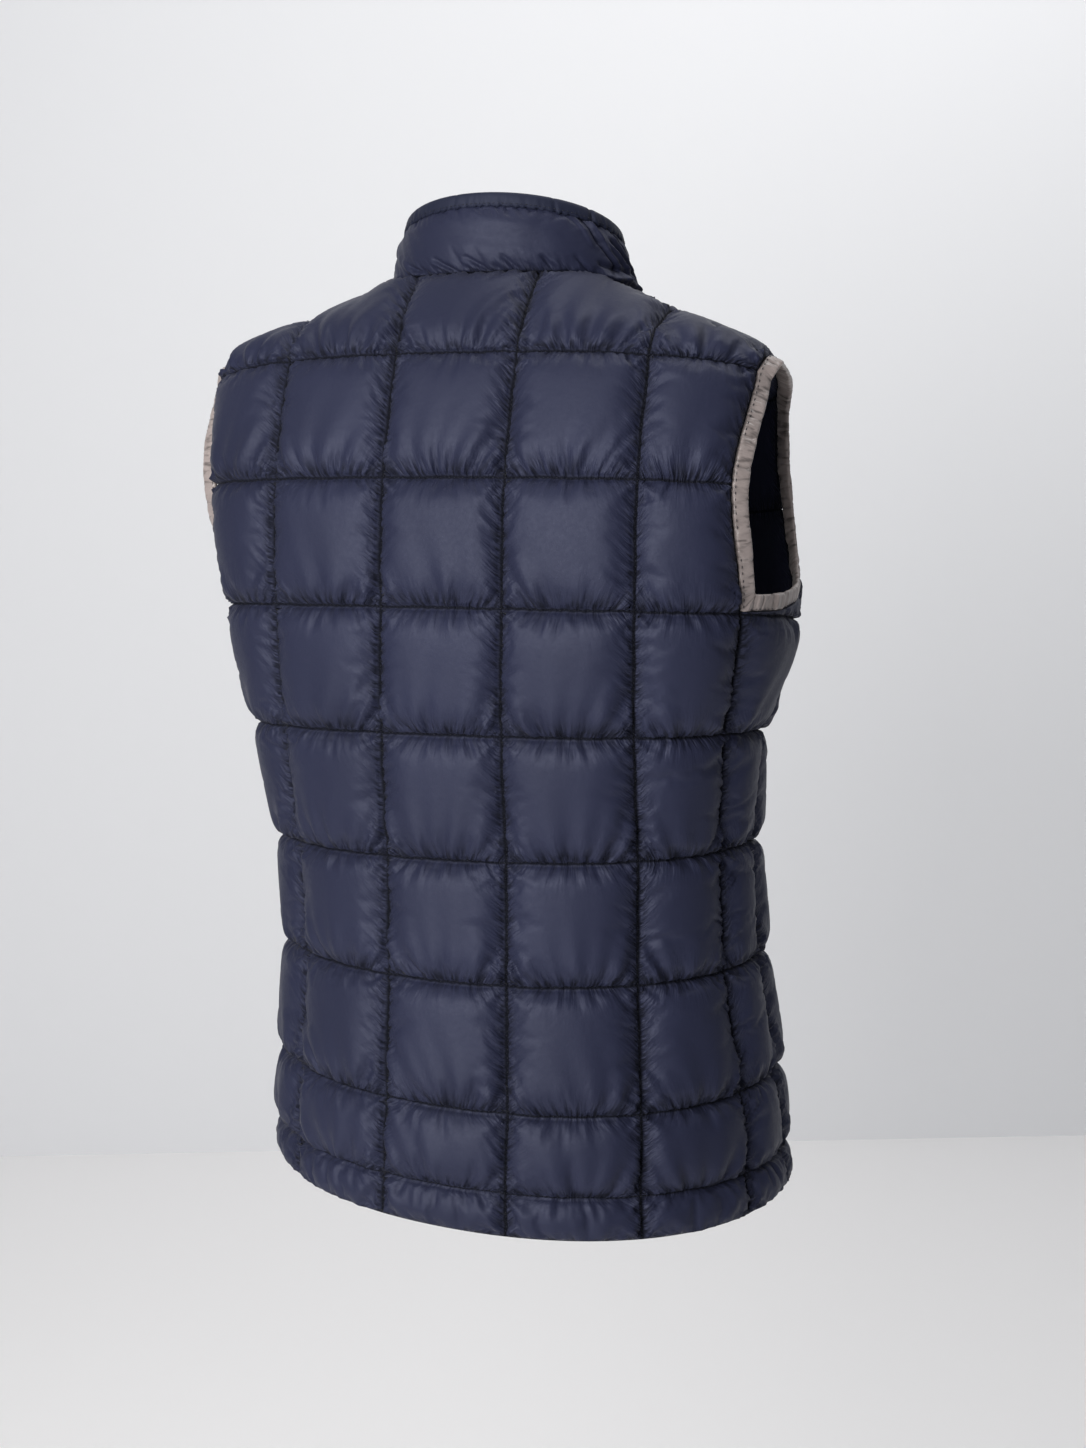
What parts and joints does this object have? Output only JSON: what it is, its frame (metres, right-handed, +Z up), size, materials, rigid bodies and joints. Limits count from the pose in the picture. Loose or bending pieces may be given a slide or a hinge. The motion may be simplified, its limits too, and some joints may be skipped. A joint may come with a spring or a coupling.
{
  "type": "quilted down vest",
  "caption": "Sleeveless square-quilted down jacket with a padded stand-up collar, bound armholes and a closed front zip, hollow as when worn.",
  "frame": {"origin": "the middle between the shoulders at the height of the neck opening, where the wearer's shoulders hold the vest", "axes": "+Z up, +Y towards the wearer's back, +X towards the wearer's left"},
  "size_m": [0.4516, 0.291, 0.7441],
  "materials": {
    "shell": "navy down-proof nylon taffeta, fine plain weave, soft satin sheen, puckered along the quilting",
    "binding": "taupe satin tape with small cross creases",
    "zip_tape": "dark navy woven polyester tape, matte",
    "zip_teeth": "dark moulded plastic, satin",
    "zip_metal": "gunmetal painted die casting, satin"
  },
  "bodies": {
    "root": {"back_panel": "shell", "front_left": "shell", "front_right": "shell", "collar": "shell", "collar_edge": "shell", "armhole_binding_left": "binding", "armhole_binding_right": "binding", "zip_tape_left": "zip_tape", "zip_tape_right": "zip_tape", "zip_chain": "zip_teeth", "zip_box": "zip_teeth", "zip_slider": "zip_metal"},
    "pull": {"zip_pull": "zip_metal"}
  },
  "joints": [
    {"name": "pull_swing", "type": "hinge", "parent": "root", "child": "pull", "pos_m": [0.00588, -0.08223, -0.03139], "axis": [-1, 0, 0], "range_deg": [0, 170]}
  ]
}
